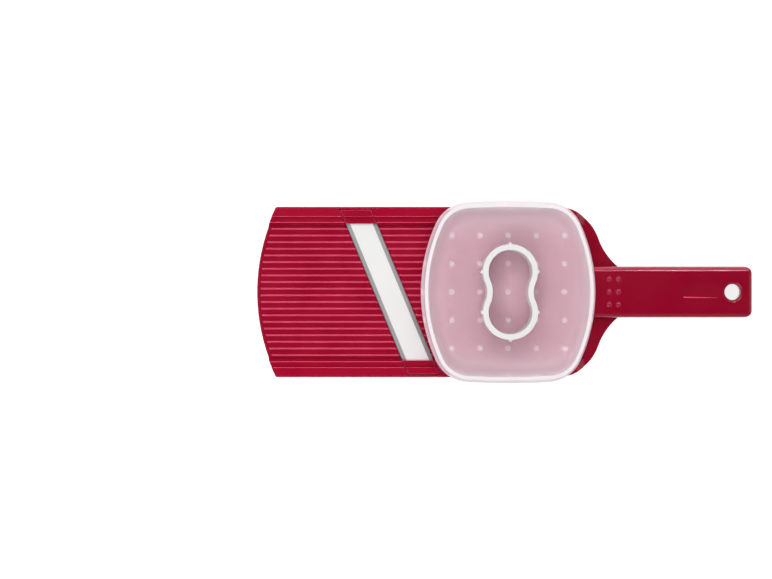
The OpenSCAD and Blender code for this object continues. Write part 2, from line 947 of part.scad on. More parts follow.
// ---------------------------------------------------------------- blade and its carrier

// The blade's section: flat below, ground along both edges above
module blade_section() {
    u = blade_w / 2;
    polygon([[-u, 0], [u, 0], [u, edge_t], [u - bevel_w, blade_t], [-u + bevel_w, blade_t],
             [-u, edge_t]]);
}

module blade() {
    color("white")
        intersection() {
            along_blade(edge_z)
                bar_to(body_w, 2 * body_w)
                    blade_section();
            translate([front_x, -blade_y, 0])
                cube([body_len, 2 * blade_y, rail_z]);
        }
}

// Centres of the two screws of the far clamp
module at_clamp_screws(z) {
    for (s = [-1, 1])
        translate([blade_x - screw_y * tan(blade_tilt) + s * clamp_screw_u / cos(blade_tilt),
                   screw_y, z])
            children();
}

// One end of the carrier: the block below and beyond the blade's end, its foot and its pin
module carrier_end() {
    pin_z = axis_z + spiral_start;
    difference() {
        union() {
            translate([0, 0, seat_z])
                linear_extrude(seat_t)
                    strip_end(block_w, block_in, block_y);
            translate([0, 0, seat_z])
                linear_extrude(seat_t + blade_t)
                    strip_end(block_w, blade_y + block_gap, block_y);
        }
        at_clamp_screws(seat_z - over)
            cylinder(r = clamp_screw_r, h = body_w);
    }
    along_blade()
        box([-foot_w / 2, foot_in, pin_z - 2 * pin_r],
            [foot_w / 2, foot_in + foot_t, seat_z + seat_t / 2]);
    along_blade(pin_z)
        translate([0, foot_in + foot_t / 2, 0])
            rotate([90, 0, 0])
                cylinder(r = pin_r, h = foot_t / 2 + groove_depth);
}

module blade_carrier() {
    color("firebrick") {
        both_ends()
            carrier_end();
        along_blade()
            intersection() {
                box([-spine_w / 2, -half_w, seat_z], [spine_w / 2, half_w, edge_z]);
                rotate([0, 0, -blade_tilt])
                    translate([-body_w, -block_in - over / 2, 0])
                        cube([2 * body_w, 2 * block_in + over, rail_z]);
            }
    }
}

// The far clamp, stepped like the rail beside it
module blade_clamp() {
    under = edge_z + blade_t;
    difference() {
        union() {
            translate([0, 0, under])
                linear_extrude(step_z - block_drop - under)
                    strip_end(block_w, block_in, block_y);
            translate([0, 0, under])
                linear_extrude(rail_z - block_drop - under)
                    strip_end(block_w, rail_in, block_y);
        }
        at_clamp_screws(under - over)
            cylinder(r = clamp_screw_r, h = clamp_grip + over);
    }
}

module blade_clamp_far() {
    color("firebrick")
        blade_clamp();
}

module blade_clamp_near() {
    color("firebrick")
        half_turn()
            blade_clamp();
}

// A pan-headed screw that points up, with its head below z = 0
module pan_screw(r, l) {
    translate([0, 0, -head_h])
        cylinder(r = r + head_flange, h = head_h);
    cylinder(r = r - screw_gap, h = l);
}

module clamp_screws() {
    color("silver")
        both_ends()
            at_clamp_screws(seat_z)
                pan_screw(clamp_screw_r, seat_t + blade_t + clamp_grip - screw_gap);
}

// ---------------------------------------------------------------- adjuster

// The bar's finger grip in section, fluted all round
module grip_section() {
    difference() {
        circle(grip_r);
        for (k = [0:flute_count - 1])
            rotate(360 * k / flute_count)
                translate([grip_r, 0])
                    circle(flute_r, $fn = 24);
    }
}

// The click wheel in section, with one notch for each setting
module click_section() {
    difference() {
        circle(click_r);
        for (k = [0:settings - 1])
            rotate(360 * k / settings)
                translate([0, click_r])
                    circle(notch_r, $fn = 24);
    }
}

module adjuster_bar() {
    color("whitesmoke")
        along_blade(axis_z) {
            intersection() {
                bar_to(flat_half, 2 * flat_half)
                    square(2 * flat_r, center = true);
                bar_to(flat_half, 2 * flat_half)
                    circle(grip_r);
            }
            bar_to(body_end, 2 * body_end)
                circle(flat_r);
            for (s = [-1, 1]) {
                bar_to(s > 0 ? body_end : -flat_half, body_end - flat_half)
                    circle(bar_r);
                bar_to(s > 0 ? grip_out : grip_len - grip_out, grip_len)
                    grip_section();
            }
            bar_to(click_v + click_w, click_w)
                click_section();
            bar_to(disc_in, 2 * disc_in)
                circle(journal_r);
            bar_to(stub_end, 2 * stub_end)
                square(stub_side, center = true);
        }
}

// Centre line of the groove: its radius grows evenly as the bar turns
function spiral(t) = spiral_start + blade_lift * t / turn;

// A point beside the centre line at turn t, side steps outwards
function beside(t, side) =
    let (r = spiral(t), slope = blade_lift / turn * 180 / PI, n = norm([r, slope]))
        [
            (r + side * r / n) * sin(-t) + side * slope / n * cos(t),
            (r + side * r / n) * cos(t) + side * slope / n * sin(t)
        ];

// The groove's outline, with round ends where the pin stops
module groove_outline() {
    half = pin_r + groove_gap;
    steps = [for (k = [0:groove_steps]) turn * k / groove_steps];
    polygon(concat(
        [for (t = steps) beside(t, half)],
        [for (k = [groove_steps:-1:0]) beside(steps[k], -half)]
    ));
    for (t = [0, turn])
        rotate(t)
            translate([0, spiral(t)])
                circle(half);
}

// The far cam disc in the bar's own frame: spiral groove outside, square socket inside
module cam_disc() {
    difference() {
        bar_to(disc_out, disc_t)
            circle(disc_r);
        bar_to(disc_out + over, groove_depth + over)
            groove_outline();
        bar_to(socket_end, disc_t)
            square(stub_side + 2 * stub_gap, center = true);
    }
}

module cam_disc_far() {
    color("gainsboro")
        along_blade(axis_z)
            cam_disc();
}

// The near disc is the far one's mirror image, so that both lift the carrier as the bar turns
module cam_disc_near() {
    color("gainsboro")
        along_blade(axis_z)
            mirror([0, 1, 0])
                cam_disc();
}

// Lower half of the far bearing, with a flange for each screw
module bearing_cap() {
    difference() {
        along_blade(axis_z)
            bar_to(bearing_v + bearing_len / 2, bearing_len) {
                translate([-cap_w / 2, -cap_flange])
                    square([cap_w, cap_flange]);
                intersection() {
                    circle(journal_r + journal_gap + cap_wall);
                    translate([-cap_w / 2, -cap_w])
                        square([cap_w, cap_w]);
                }
            }
        journal_bore();
        cap_screw_holes();
        along_blade(0)
            translate([0, bearing_v, 0])
                for (s = [-1, 1])
                    translate([s * cap_screw_u, 0, 0])
                        cylinder(r = cap_screw_r, h = axis_z);
    }
}

module bearing_cap_far() {
    color("whitesmoke")
        bearing_cap();
}

module bearing_cap_near() {
    color("whitesmoke")
        half_turn()
            bearing_cap();
}

module bearing_screws() {
    color("silver")
        both_ends()
            for (s = [-1, 1])
                along_blade(axis_z - cap_flange)
                    translate([s * cap_screw_u, bearing_v, 0])
                        pan_screw(cap_screw_r, cap_flange + thread_len - screw_gap);
}

// The leaf under the click wheel, with the rounded nose that drops into its notches
module click_spring() {
    mid = click_v + click_w / 2;
    color("silver")
        along_blade()
            difference() {
                union() {
                    box([-leaf_post_half, mid - leaf_w / 2, leaf_top - leaf_t],
                        [leaf_screw_u + leaf_post_half, mid + leaf_w / 2, leaf_top]);
                    translate([0, mid + leaf_w / 2, leaf_top - nose_r / 2])
                        rotate([90, 0, 0])
                            cylinder(r = nose_r, h = leaf_w, $fn = 32);
                }
                translate([leaf_screw_u, mid, 0])
                    cylinder(r = cap_screw_r, h = axis_z);
            }
}

module spring_screw() {
    color("silver")
        along_blade(leaf_top - leaf_t)
            translate([leaf_screw_u, click_v + click_w / 2, 0])
                pan_screw(cap_screw_r, leaf_t + thread_len - screw_gap);
}

// ---------------------------------------------------------------- food guard

// Points of one arc round a centre, from angle a up to but not including angle b
function arc_points(c, r, a, b, n = ring_pts) = [
    for (k = [0:n - 1])
        let (t = a + (b - a) * k / n) [c[0] + r * cos(t), c[1] + r * sin(t)]
];

// A quarter of the guard's outline, drawn in by d: end arc, corner arc and side arc
function guard_quarter(d) = concat(
    arc_points(end_c, guard_end_r - d, 0, end_a),
    arc_points(corner_c, guard_corner_r - d, end_a, side_a),
    arc_points(side_c, guard_side_r - d, side_a, 90)
);

// The whole outline, anticlockwise
function guard_outline(d) =
    let (q = guard_quarter(d), n = len(q), top = [0, side_c[1] + guard_side_r - d])
        concat(
            q,
            [top],
            [for (k = [n - 1:-1:1]) [-q[k][0], q[k][1]]],
            [for (k = [0:n - 1]) [-q[k][0], -q[k][1]]],
            [-top],
            [for (k = [n - 1:-1:1]) [q[k][0], -q[k][1]]]
        );

// Section of the tray from the middle of its underside to the middle of its top, as pairs of
// inset and height: flange, outer wall, rounded rim, inner wall and the curve into the plate
function tray_section() =
    let (
        inner = flange_w + rim_t,
        soft = rim_t / 4,
        drop = rim_h - soft - plate_t
    )
        [
            [inner + bowl_w, 0], [0, 0], [0, flange_t], [flange_w - soft / 2, flange_t + soft / 2],
            [flange_w, flange_t + soft], [flange_w, rim_h - soft], [flange_w + soft / 3, rim_h - soft / 3],
            [flange_w + soft, rim_h], [inner - soft, rim_h], [inner - soft / 3, rim_h - soft / 3],
            for (k = [0:ring_pts])
                let (a = 90 * k / ring_pts)
                    [inner + bowl_w * (1 - cos(a)), plate_t + drop * (1 - sin(a))]
        ];

// A closed solid through rings of the outline at the section's insets and heights
module guard_loft(section) {
    rings = [for (p = section) guard_outline(p[0])];
    n = len(rings[0]);
    m = len(section);
    points = [for (k = [0:m - 1], p = rings[k]) [p[0], p[1], section[k][1]]];
    walls = [
        for (k = [0:m - 2], i = [0:n - 1])
            let (j = (i + 1) % n)
                [k * n + i, (k + 1) * n + i, (k + 1) * n + j, k * n + j]
    ];
    polyhedron(points, concat(
        walls,
        [[for (i = [0:n - 1]) i]],
        [[for (i = [n - 1:-1:0]) (m - 1) * n + i]]
    ), convexity = 6);
}

module guard_tray() {
    color("mistyrose")
        translate([guard_x, 0, plate_z])
            guard_loft(tray_section());
}

// Skirts below the tray's edge, outside the rails, and the ledges that run on the rails
module guard_skirts() {
    inside = half_w + skirt_gap;
    low = rail_z - skirt_depth;
    color("mistyrose")
        translate([guard_x, 0, 0]) {
            intersection() {
                translate([0, 0, low])
                    linear_extrude(plate_z - low)
                        intersection() {
                            polygon(guard_outline(0));
                            for (s = [-1, 1])
                                translate([-skirt_half, s > 0 ? inside : -half_w - inside])
                                    square([2 * skirt_half, half_w]);
                        }
                bar_to(body_w, 2 * body_w) {
                    translate([-skirt_half, low + skirt_corner_r])
                        square([2 * skirt_half, skirt_depth + 2 * plate_rise]);
                    translate([-skirt_half + skirt_corner_r, low])
                        square([2 * (skirt_half - skirt_corner_r), skirt_depth]);
                    for (s = [-1, 1])
                        translate([s * (skirt_half - skirt_corner_r), low + skirt_corner_r])
                            circle(skirt_corner_r);
                }
            }
            both_sides()
                box([-skirt_half, half_w - ledge_w, rail_z + ledge_gap],
                    [skirt_half, inside + skirt_gap, plate_z]);
        }
}

// The grip ring's outline, drawn in by i: two lobes joined by a hollow waist
function peanut(i) =
    let (
        far = (pow(lobe_r, 2) - pow(lobe_y, 2) - pow(waist_w / 2, 2)) / (waist_w - 2 * lobe_r),
        c = far + waist_w / 2,
        a = atan2(lobe_y, c)
    )
        concat(
            arc_points([0, lobe_y], lobe_r - i, -a, 180 + a, lobe_pts),
            arc_points([-c, 0], far + i, a, -a, ring_pts),
            arc_points([0, -lobe_y], lobe_r - i, 180 - a, 360 + a, lobe_pts),
            arc_points([c, 0], far + i, 180 + a, 180 - a, ring_pts)
        );

module guard_grip() {
    color("white")
        translate([guard_x, 0, plate_z + plate_t]) {
            linear_extrude(ring_h)
                difference() {
                    polygon(peanut(0));
                    polygon(peanut(ring_wall));
                }
            for (sy = [-1, 1]) {
                translate([0, sy * (lobe_y + lobe_r), 0])
                    cylinder(r = nub_r, h = ring_h - nub_r);
                for (sx = [-1, 1])
                    translate([sx * lobe_r, sy * lobe_y, 0])
                        cylinder(r = nub_r, h = ring_h - nub_r);
            }
        }
}

module guard_pins() {
    color("white")
        for (i = [0:pin_rows - 1], j = [0:pin_rows - 1])
            translate([guard_x + (i - (pin_rows - 1) / 2) * pin_pitch,
                       (j - (pin_rows - 1) / 2) * pin_pitch, plate_z - food_pin_len])
                cylinder(r1 = food_pin_tip, r2 = food_pin_r, h = food_pin_len, $fn = 24);
}

main_frame();
front_foot();
rear_feet();
blade();
blade_carrier();
blade_clamp_far();
blade_clamp_near();
clamp_screws();
adjuster_bar();
cam_disc_far();
cam_disc_near();
bearing_cap_far();
bearing_cap_near();
bearing_screws();
click_spring();
spring_screw();
guard_tray();
guard_skirts();
guard_grip();
guard_pins();
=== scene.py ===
import math

import bmesh
import bpy
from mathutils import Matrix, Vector


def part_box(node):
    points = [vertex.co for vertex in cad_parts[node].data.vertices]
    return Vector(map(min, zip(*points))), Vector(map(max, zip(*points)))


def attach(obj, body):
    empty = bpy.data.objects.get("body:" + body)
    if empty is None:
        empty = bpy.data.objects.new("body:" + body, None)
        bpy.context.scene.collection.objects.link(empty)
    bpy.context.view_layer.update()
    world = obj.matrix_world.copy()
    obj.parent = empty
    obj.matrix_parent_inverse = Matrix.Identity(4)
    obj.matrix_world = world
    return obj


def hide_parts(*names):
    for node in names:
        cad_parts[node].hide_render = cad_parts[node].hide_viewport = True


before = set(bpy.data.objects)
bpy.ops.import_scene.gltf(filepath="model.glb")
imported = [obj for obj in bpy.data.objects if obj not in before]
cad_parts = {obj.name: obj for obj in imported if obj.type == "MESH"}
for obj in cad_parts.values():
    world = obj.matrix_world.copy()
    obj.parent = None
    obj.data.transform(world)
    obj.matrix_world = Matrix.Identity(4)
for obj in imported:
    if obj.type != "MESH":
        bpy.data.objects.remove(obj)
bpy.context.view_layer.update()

# ---------------------------------------------------------------- Moulded body
# Deck, rails, shoulders and handle are one injection moulding in glossy red plastic, matt on the
# rails' end ramps. Food and guard scratch it lengthwise. Painted light: the rails are painted
# lighter towards their tops and the handle darker, as painted shade; the rib crests, the rails'
# inner edges, the handle's far edge, its thumb bumps and the near lip of its panel carry painted
# highlights.


class Value:
    """The output of a node. It can stand in a Python sum: each operator adds its Math node."""

    def __init__(self, tree, socket):
        self.tree = tree
        self.socket = socket

    def __add__(self, other):
        return self.tree.math("ADD", self, other)

    def __sub__(self, other):
        return self.tree.math("SUBTRACT", self, other)

    def __rsub__(self, other):
        return self.tree.math("SUBTRACT", other, self)

    def __mul__(self, other):
        return self.tree.math("MULTIPLY", self, other)

    def __abs__(self):
        return self.tree.math("ABSOLUTE", self)

    __radd__ = __add__
    __rmul__ = __mul__


class Tree:
    """A node tree in the making. A node's inputs, by name or number, are constants or Values."""

    def __init__(self, tree):
        self.tree = tree

    def put(self, node, inputs):
        for key, value in inputs.items():
            if isinstance(value, Value):
                self.tree.links.new(value.socket, node.inputs[key])
            else:
                node.inputs[key].default_value = value

    def node(self, kind, settings, inputs, output=0):
        new = self.tree.nodes.new(kind)
        for key, value in settings.items():
            setattr(new, key, value)
        self.put(new, inputs)
        return Value(self, new.outputs[output])

    def math(self, operation, *terms):
        return self.node("ShaderNodeMath", {"operation": operation}, dict(enumerate(terms)))


class Finish(Tree):
    """A material round one Principled shader. Its even qualities are constants on the sockets."""

    def __init__(self, name, constants):
        self.material = bpy.data.materials.new(name)
        self.material.use_nodes = True
        super().__init__(self.material.node_tree)
        self.shader = self.tree.nodes["Principled BSDF"]
        self.put(self.shader, constants)
        self.place = self.node("ShaderNodeTexCoord", {}, {}, "Object")

    def noise(self, scale, detail=2, stretch=(1, 1, 1)):
        """Soft noise from 0 to 1 with `scale` cells to a metre, times `stretch` on each axis."""
        spot = self.node("ShaderNodeMapping", {}, {"Vector": self.place, "Scale": stretch})
        return self.node(
            "ShaderNodeTexNoise", {}, {"Vector": spot, "Scale": scale, "Detail": detail}
        )

    def along(self, axis):
        """A point's place along X, Y or Z, in metres."""
        return self.node("ShaderNodeSeparateXYZ", {}, {"Vector": self.place}, axis)

    def ramp(self, value, low, high):
        """0 at `low`, 1 at `high`, a straight slope between and level beyond."""
        return self.node(
            "ShaderNodeMapRange", {}, {"Value": value, "From Min": low, "From Max": high}
        )

    def tint(self, share, first, second):
        """The colour that lies a `share` of the way from the first to the second."""
        first, second = (c if isinstance(c, Value) else (*c, 1) for c in (first, second))
        return self.node(
            "ShaderNodeMix", {"data_type": "RGBA"}, {0: share, 6: first, 7: second}, 2
        )

    def relief(self, height, depth, strength=1.0):
        """A normal that follows a height from 0 to 1, `depth` metres deep."""
        return self.node(
            "ShaderNodeBump", {}, {"Height": height, "Distance": depth, "Strength": strength}
        )

    def finish(self, varying):
        """The material, with its varying qualities linked."""
        self.put(self.shader, varying)
        return self.material


HANDLE_START = 0.049
NECK_LENGTH = 0.007
RAIL_FOOT = 0.0172
RAIL_TOP = 0.02036
# Painted light: how far and to what red the rails turn lighter towards their tops.
RAIL_LIGHT_SHARE = 0.45
RAIL_LIT_RED = (0.49, 0.0024, 0.036)
GRAIN_DEPTH = 0.000004


def red_plastic(name, deep, light, handle, rough=0.12):
    """Red moulded plastic: cloudy red, a fine mould grain, lengthwise scratches, painted light
    and shade.
    """
    paint = Finish(name, {"IOR": 1.5})
    cloud = paint.ramp(paint.noise(60, 3), 0.35, 0.65)
    scratches = paint.ramp(paint.noise(60, 4, (1, 34, 34)), 0.68, 0.74)
    grain = paint.noise(2600, 1)
    # From the neck on the red turns to `handle`; in the body's red that is a painted shade.
    rear = paint.ramp(paint.along("X"), HANDLE_START, HANDLE_START + NECK_LENGTH)
    # Painted light: the red turns lighter towards the rails' tops.
    rail = paint.ramp(paint.along("Z"), RAIL_FOOT, RAIL_TOP) * RAIL_LIGHT_SHARE
    front = paint.tint(rail, paint.tint(cloud, deep, light), RAIL_LIT_RED)
    return paint.finish(
        {
            "Base Color": paint.tint(rear, front, handle),
            "Roughness": rough + 0.05 * cloud + 0.08 * scratches,
            "Normal": paint.relief(grain - scratches * 0.4, GRAIN_DEPTH),
        }
    )


DEEP_RED = (0.34, 0.0012, 0.023)
LIGHT_RED = (0.37, 0.002, 0.027)
# Painted shade: the handle's darker red.
HANDLE_SHADE_RED = (0.31, 0.0012, 0.021)
# Painted highlights: lighter reds for rib crests, thumb bumps, clamp edges and the handle's far
# edge.
HIGHLIGHT_DEEP = (0.64, 0.02, 0.09)
HIGHLIGHT_PALE = (0.74, 0.03, 0.115)
HANDLE_HIGHLIGHT_RED = (0.42, 0.006, 0.05)
# Painted highlight: near-white red for the rails' inner edges, the panel's lip and clamp corners.
EDGE_GLINT_RED = (0.95, 0.055, 0.16)
BODY_RED = red_plastic("body_red", DEEP_RED, LIGHT_RED, HANDLE_SHADE_RED)
HIGHLIGHT_RED = red_plastic("crest_red", HIGHLIGHT_DEEP, HIGHLIGHT_PALE, HANDLE_HIGHLIGHT_RED)
MATT_RED = red_plastic("matt_red", DEEP_RED, LIGHT_RED, HANDLE_SHADE_RED, rough=0.55)
EDGE_GLINT = red_plastic("pale_red", EDGE_GLINT_RED, EDGE_GLINT_RED, EDGE_GLINT_RED)


SAME_POINT = 2e-6
SAME_FLAT = math.radians(0.3)


def merged_copy(node, piece_name):
    """A new object with a CAD node's mesh, its loose triangles joined up into flats."""
    piece = bpy.data.objects.new(piece_name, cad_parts[node].data.copy())
    bpy.context.scene.collection.objects.link(piece)
    work = bmesh.new()
    work.from_mesh(piece.data)
    bmesh.ops.remove_doubles(work, verts=work.verts, dist=SAME_POINT)
    bmesh.ops.dissolve_limit(work, angle_limit=SAME_FLAT, verts=work.verts, edges=work.edges)
    work.to_mesh(piece.data)
    work.free()
    return piece


def settled(piece):
    """Turns an object's modifiers into its plain mesh."""
    bpy.context.view_layer.update()
    ready = piece.evaluated_get(bpy.context.evaluated_depsgraph_get())
    mesh = bpy.data.meshes.new_from_object(ready)
    piece.modifiers.clear()
    piece.data = mesh


BROAD = 0.002
FLAT_SHARP = 1


def smooth(piece, sharp):
    """Smooth faces, with corners above `sharp` degrees and between any two broad flats."""
    piece.data.shade_smooth()
    work = bmesh.new()
    work.from_mesh(piece.data)
    for edge in work.edges:
        faces = edge.link_faces
        turn = edge.calc_face_angle(0)
        broad = all(face.calc_area() > BROAD * edge.calc_length() for face in faces)
        edge.smooth = turn < math.radians(FLAT_SHARP if broad and len(faces) == 2 else sharp)
    work.to_mesh(piece.data)
    work.free()
    even = piece.modifiers.new("even", "WEIGHTED_NORMAL")
    even.keep_sharp = True
    settled(piece)


def place_piece(piece, body, slot, material, *nodes):
    """Gives a finished piece its material and its body, and hides the CAD nodes it stands for.
    `slot` is not used.
    """
    piece.data.materials.clear()
    piece.data.materials.append(material)
    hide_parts(*nodes)
    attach(piece, body)


def repaint(piece, materials, choose):
    """Adds materials to a piece. `choose` picks one for a face's normal and middle, or None."""
    for material in materials:
        piece.data.materials.append(material)
    for face in piece.data.polygons:
        chosen = choose(face.normal, face.center)
        if chosen:
            face.material_index = 1 + materials.index(chosen)


GLINT_TILT = (0.1, 0.5)
CROSS_TILT = 0.02
NEARLY_LEVEL = 0.99
RIB_REACH = 0.036
RAIL_REACH = 0.042
DECK_TOP = 0.01477
HANDLE_EDGE_START = 0.055
MIDDLE_REACH = 0.008
BUMPS_END = 0.07
RAMP_TILT = (0.6, 0.9)
LIP_REACH = (0.09, 0.118)
LIP_TILT = 0.3


def lengthwise_edge(turn):
    """Whether a face is the tilted top of an edge that runs along X."""
    return abs(turn.y) > GLINT_TILT[0] and turn.z > GLINT_TILT[1] and abs(turn.x) < CROSS_TILT


# Paints highlights on crests, rail edges, the handle's far edge, its bumps and panel lip; ramps
# matt.
def body_finish(turn, spot):
    edge = lengthwise_edge(turn)
    on_deck = spot.x < HANDLE_START and spot.z > DECK_TOP
    lit_handle_edge = spot.x > HANDLE_EDGE_START and spot.y > MIDDLE_REACH and turn.y > 0
    bump = HANDLE_START < spot.x < BUMPS_END and abs(spot.y) < MIDDLE_REACH
    panel = LIP_REACH[0] < spot.x < LIP_REACH[1] and abs(spot.y) < MIDDLE_REACH
    lip = panel and min(turn.y, turn.z) > LIP_TILT
    rail_edge = edge and RIB_REACH < abs(spot.y) < RAIL_REACH and turn.y * spot.y < 0
    if lip or (on_deck and rail_edge):
        return EDGE_GLINT
    if on_deck and RAMP_TILT[0] < turn.x < RAMP_TILT[1]:
        return MATT_RED
    if edge and (lit_handle_edge or on_deck and abs(spot.y) < RIB_REACH):
        return HIGHLIGHT_RED
    if bump and GLINT_TILT[1] < turn.z < NEARLY_LEVEL:
        return HIGHLIGHT_RED
    return None


body = merged_copy("main_frame", "moulded_body")
smooth(body, 40)
place_piece(body, "frame", "body_plastic", BODY_RED, "main_frame")
repaint(body, (HIGHLIGHT_RED, MATT_RED, EDGE_GLINT), body_finish)

# ---------------------------------------------------------------- Rubber feet
# A curved strip under the front wall and two round pads under the shoulders, of soft dark red
# rubber. They are pressed into shallow seats in the moulding and stand 1 mm proud of it.


def refined(node, piece_name, body, slot, material, edge, sharp=35, above=-1.0):
    """Stands for a CAD node: its mesh, with corners `above` a height rounded by up to `edge`."""
    piece = merged_copy(node, piece_name)
    work = bmesh.new()
    work.from_mesh(piece.data)
    corners = [
        line for line in work.edges
        if len(line.link_faces) == 2 and line.is_convex
        and line.calc_face_angle(0) > math.radians(sharp)
        and min(point.co.z for point in line.verts) > above
    ]
    if edge:
        bmesh.ops.bevel(
            work, geom=corners, offset=edge, segments=3, profile=0.5, affect="EDGES",
            clamp_overlap=True,
        )
    work.to_mesh(piece.data)
    work.free()
    smooth(piece, sharp)
    place_piece(piece, body, slot, material, node)
    return piece


def foot_rubber():
    paint = Finish("foot_rubber", {"Specular IOR Level": 0.35})
    bloom = paint.noise(160, 4)
    grain = paint.noise(5200, 2)
    return paint.finish(
        {
            "Base Color": paint.tint(bloom, (0.055, 0.008, 0.012), (0.11, 0.02, 0.026)),
            "Roughness": 0.62 + 0.2 * bloom,
            "Normal": paint.relief(grain, 0.00004, 0.6),
        }
    )


RUBBER = foot_rubber()
refined("front_foot", "front_foot_strip", "frame", "foot_rubber", RUBBER, 0.0003)
refined("rear_feet", "rear_foot_pads", "frame", "foot_rubber", RUBBER, 0.0004)

# ---------------------------------------------------------------- Thickness adjuster
# A bar with two fluted grips and a click wheel lies under the blade and turns in two bearings.
# Its square ends turn a cam disc each. Bar, discs and bearing caps are off-white acetal.


def acetal():
    paint = Finish(
        "adjuster_acetal", {"IOR": 1.48, "Subsurface Weight": 0.12, "Subsurface Scale": 0.001}
    )
    cloud = paint.noise(90, 3)
    grain = paint.noise(3800, 2)
    return paint.finish(
        {
            "Base Color": paint.tint(cloud, (0.68, 0.67, 0.63), (0.76, 0.75, 0.71)),
            "Roughness": 0.36 + 0.12 * cloud,
            "Normal": paint.relief(grain, 0.00002, 0.5),
        }
    )


ACETAL = acetal()
for node, piece_name, edge in (
    ("adjuster_bar", "thickness_bar", 0.0002),
    ("cam_disc_far", "spiral_cam_far", 0.00015),
    ("cam_disc_near", "spiral_cam_near", 0.00015),
):
    refined(node, piece_name, "adjuster", "adjuster_plastic", ACETAL, edge)
for end in ("far", "near"):
    refined(
        "bearing_cap_" + end, "bearing_saddle_" + end, "frame", "adjuster_plastic", ACETAL, 0.0002
    )

# ---------------------------------------------------------------- Click spring
# A leaf of spring steel below the click wheel, held by one screw. Its rounded nose drops into
# a notch of the wheel at each setting. It is rolled strip, with the rolling lines along it.


def rolled_steel():
    paint = Finish("rolled_steel", {"Metallic": 1.0})
    lines = paint.noise(900, 3, (1, 12, 12))
    haze = paint.noise(120, 3)
    return paint.finish(
        {
            "Base Color": paint.tint(haze, (0.5, 0.5, 0.51), (0.62, 0.62, 0.63)),
            "Roughness": 0.24 + 0.14 * lines,
            "Normal": paint.relief(lines, 0.000008),
        }
    )


STEEL = rolled_steel()
refined("click_spring", "click_leaf", "frame", "steel", STEEL, 0.00008)

# ---------------------------------------------------------------- Blade carrier and clamps
# A spine with a block at each end carries the blade up and down in the rails' notches, and a
# stepped clamp holds each end of the blade down. All three are moulded in the body's red, and
# the clamps' inner edges and upper corners carry painted highlights.

CORNER_TILT = (0.2, 0.98)
CLAMP_STEP = 0.0184


# Painted highlights on the clamps' inner edges and upper corners.
def clamp_finish(turn, spot):
    if lengthwise_edge(turn) and turn.y * spot.y < 0:
        return HIGHLIGHT_RED
    return EDGE_GLINT if CORNER_TILT[0] < turn.z < CORNER_TILT[1] else None


CARRIER_RED = red_plastic("carrier_red", DEEP_RED, LIGHT_RED, HANDLE_SHADE_RED)
refined(
    "blade_carrier", "carrier_spine", "carrier", "carrier_plastic", CARRIER_RED, 0.00015
)
for end in ("far", "near"):
    clamp = refined(
        "blade_clamp_" + end, "clamp_block_" + end, "carrier", "carrier_plastic", CARRIER_RED,
        0.0003, above=CLAMP_STEP,
    )
    repaint(clamp, (HIGHLIGHT_RED, EDGE_GLINT), clamp_finish)

# ---------------------------------------------------------------- Ceramic blade
# A strip of white zirconia, ground along both long edges so that it cuts on the push and on
# the pull. The flat is lapped to a soft sheen and each bevel shows the grinding wheel's lines.
# The bevels' dark grey is a painted reflection of dark surroundings.


def zirconia():
    paint = Finish(
        "zirconia_flat", {"IOR": 1.9, "Subsurface Weight": 0.1, "Subsurface Scale": 0.0008}
    )
    cloud = paint.noise(70, 3)
    lapped = paint.noise(1400, 3)
    return paint.finish(
        {
            "Base Color": paint.tint(cloud, (0.9, 0.9, 0.9), (0.94, 0.94, 0.93)),
            "Roughness": 0.36 + 0.1 * cloud,
            "Normal": paint.relief(lapped, 0.000006),
        }
    )


# Painted reflection: the ground bevels are coloured dark grey for the dark surroundings they
# mirror.
def zirconia_ground():
    paint = Finish("zirconia_ground", {"IOR": 1.9})
    cloud = paint.noise(110, 3)
    lines = paint.noise(2400, 3, (1, 0.08, 1))
    return paint.finish(
        {
            "Base Color": paint.tint(cloud, (0.34, 0.34, 0.34), (0.44, 0.44, 0.44)),
            "Roughness": 0.5 + 0.2 * lines,
            "Normal": paint.relief(lines, 0.00001),
        }
    )


BEVEL_TILT = (0.5, 0.97)
PAINTED_DARK_BEVEL = zirconia_ground()


def blade_finish(turn, spot):
    return PAINTED_DARK_BEVEL if BEVEL_TILT[0] < turn.z < BEVEL_TILT[1] else None


blade = refined("blade", "ceramic_blade", "carrier", "blade_ceramic", zirconia(), 0)
repaint(blade, (PAINTED_DARK_BEVEL,), blade_finish)

# ---------------------------------------------------------------- Screws
# Small pan-headed steel screws, driven from below: two into each blade clamp, two in each
# bearing cap and one in the click spring. Each head has a cross recess.


def new_geometry(name, inputs):
    """A geometry tree with the named inputs, as (tree, its input values by name)."""
    group = bpy.data.node_groups.new(name, "GeometryNodeTree")
    group.interface.new_socket("Geometry", in_out="INPUT", socket_type="NodeSocketGeometry")
    group.interface.new_socket("Geometry", in_out="OUTPUT", socket_type="NodeSocketGeometry")
    for key, kind in inputs.items():
        group.interface.new_socket(key, in_out="INPUT", socket_type="NodeSocket" + kind)
    tree = Tree(group)
    entry = group.nodes.new("NodeGroupInput")
    return tree, {socket.name: Value(tree, socket) for socket in entry.outputs if socket.name}


def close_geometry(tree, shape, material):
    """Ends a tree: real copies in one material."""
    real = tree.node("GeometryNodeRealizeInstances", {}, {"Geometry": shape})
    made = tree.node("GeometryNodeSetMaterial", {}, {"Geometry": real, "Material": material})
    tree.put(tree.tree.nodes.new("NodeGroupOutput"), {"Geometry": made})


def grown(name, tree, start, values):
    """Runs a geometry tree on a start mesh and returns the result as one plain mesh object."""
    piece = bpy.data.objects.new(name, start)
    bpy.context.scene.collection.objects.link(piece)
    run = piece.modifiers.new("build", "NODES")
    run.node_group = tree.tree
    for key, value in values.items():
        run[tree.tree.interface.items_tree[key].identifier] = value
    settled(piece)
    return piece


